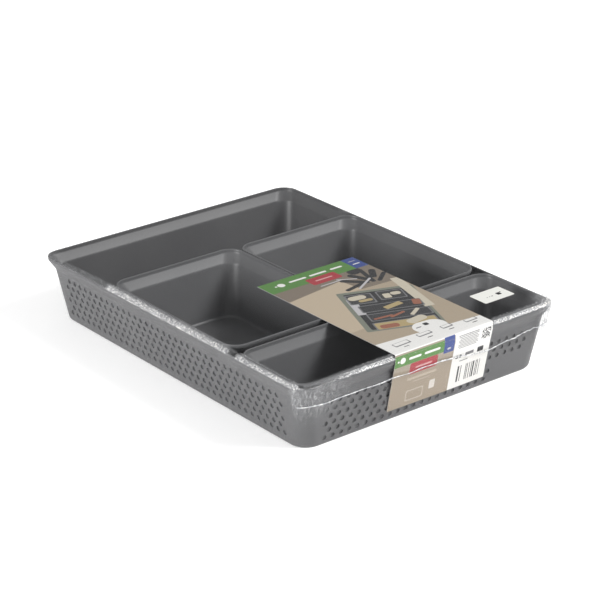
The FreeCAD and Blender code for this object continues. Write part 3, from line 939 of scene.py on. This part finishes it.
# %% Line of the weld
WELD_END, WELD_STEPS, WELD_ROUND = 146, 240, 17 * MM
WELD_LEVEL, WELD_DIP, DIP_PLACE, DIP_WIDTH = 46, 6.0, 66, 34
weld_curve = bpy.data.curves.new("weld_line", "CURVE")
weld_curve.dimensions, weld_curve.bevel_depth, weld_curve.bevel_resolution = "3D", 0.56 * MM, 2
weld = weld_curve.splines.new("POLY")
weld.points.add(WELD_STEPS)
for step in range(WELD_STEPS + 1):
    x = (-WELD_END + 2 * WELD_END * step / WELD_STEPS) * MM
    sag = WELD_DIP * math.exp(-((x / MM - DIP_PLACE) / DIP_WIDTH) ** 2)
    wander = 1.3 * noise.noise(Vector((x * 55, 0, 5)))
    wander += 1.5 * fade(x / MM, 60, 110) * noise.noise(Vector((x * 210, 3, 5)))
    z = (WELD_LEVEL - sag + wander) * MM
    lean = (FOOT_INSET - RIM_INSET) * (lip_level - z) / lip_level
    corner = max(0.0, abs(x) - film_x + WELD_ROUND + lean)
    round_in = WELD_ROUND - math.sqrt(max(0.0, WELD_ROUND ** 2 - corner * corner))
    weld.points[step].co = (x, -film_y + lean + round_in - 0.1 * MM, z, 1)
    weld.points[step].radius = 0.6 + 1.7 * abs(noise.noise(Vector((x * 330, 1, 2))))
print("weld line of", len(weld.points), "points")

# %% Weld bead
holder = bpy.data.objects.new("weld_line", weld_curve)
bpy.context.scene.collection.objects.link(holder)
bpy.context.view_layer.update()
weld_mesh = bpy.data.meshes.new_from_object(holder.evaluated_get(bpy.context.evaluated_depsgraph_get()))
bpy.data.objects.remove(holder)
builder = bmesh.new()
builder.from_mesh(weld_mesh)
bmesh.ops.holes_fill(builder, edges=[edge for edge in builder.edges if edge.is_boundary])
# The bead's white dashes are partly the milky weld and partly painted highlight.
bead_highlight_layer = builder.verts.layers.float.new("crinkle")
for vert in builder.verts:
    vert[bead_highlight_layer] = 0.35 + 1.04 * abs(noise.noise(Vector((vert.co.x * 130, 0, 9))))
bead_finish = make_film_finish("film_weld", 0.42, (260, 60, 60), 1.8)
finish_piece(builder, "film_weld_bead", bead_finish, "wrap", None, 60.0)

# %% [markdown]
# ## Floor and light
# A plain white floor and a bright even room, as in a catalogue studio. One broad lamp at the front right
# gives the faint shadow at the left, and a low one at the left brightens the long outer wall without reaching
# into the trays. The floor gives a little light of its own, as a lit white table does.

# %% Floor
builder = bmesh.new()
bmesh.ops.create_grid(builder, x_segments=8, y_segments=8, size=6.0)
floor_mesh = bpy.data.meshes.new("studio_floor")
builder.to_mesh(floor_mesh)
builder.free()
floor = bpy.data.objects.new("studio_floor", floor_mesh)
bpy.context.scene.collection.objects.link(floor)
floor_paint, tree, shader = new_material("studio_white")
floor_tone = add_node(tree, "TexNoise", Scale=2.0, Vector=add_node(tree, "TexCoord").outputs["Object"])
put(tree, shader, "Base Color",
    blend_colours(tree, floor_tone.outputs[0], (0.93, 0.93, 0.93, 1), (0.95, 0.95, 0.95, 1)))
for title, value in (("Roughness", 0.9), ("Specular IOR Level", 0.1), ("Emission Color", (1, 1, 1, 1)),
                     ("Emission Strength", 0.42)):
    put(tree, shader, title, value)
floor_mesh.materials.append(floor_paint)
print("floor", floor.dimensions[:])


# %% Lamps and room
def add_lamp(name, place, aim_at, size, power):
    """A broad square lamp that looks at a point."""
    lamp = bpy.data.lights.new(name, "AREA")
    lamp.shape, lamp.size, lamp.energy = "SQUARE", size, power
    holder = bpy.data.objects.new(name, lamp)
    holder.location = place
    holder.rotation_euler = (Vector(aim_at) - Vector(place)).to_track_quat("-Z", "Y").to_euler()
    bpy.context.scene.collection.objects.link(holder)


add_lamp("main_lamp", (1.3, -1.7, 1.8), (0, 0, 0), 0.9, 68)
add_lamp("left_lamp", (-2.2, 0.15, 0.5), (0, 0.05, 0.03), 0.8, 40)
room = bpy.data.worlds.new("room")
bpy.context.scene.world = room
room.use_nodes = True
backdrop = room.node_tree.nodes["Background"]
put(room.node_tree, backdrop, "Color", (1, 1, 1, 1))
put(room.node_tree, backdrop, "Strength", 0.42)
bpy.context.scene.view_settings.view_transform = "Standard"
print("room lit")
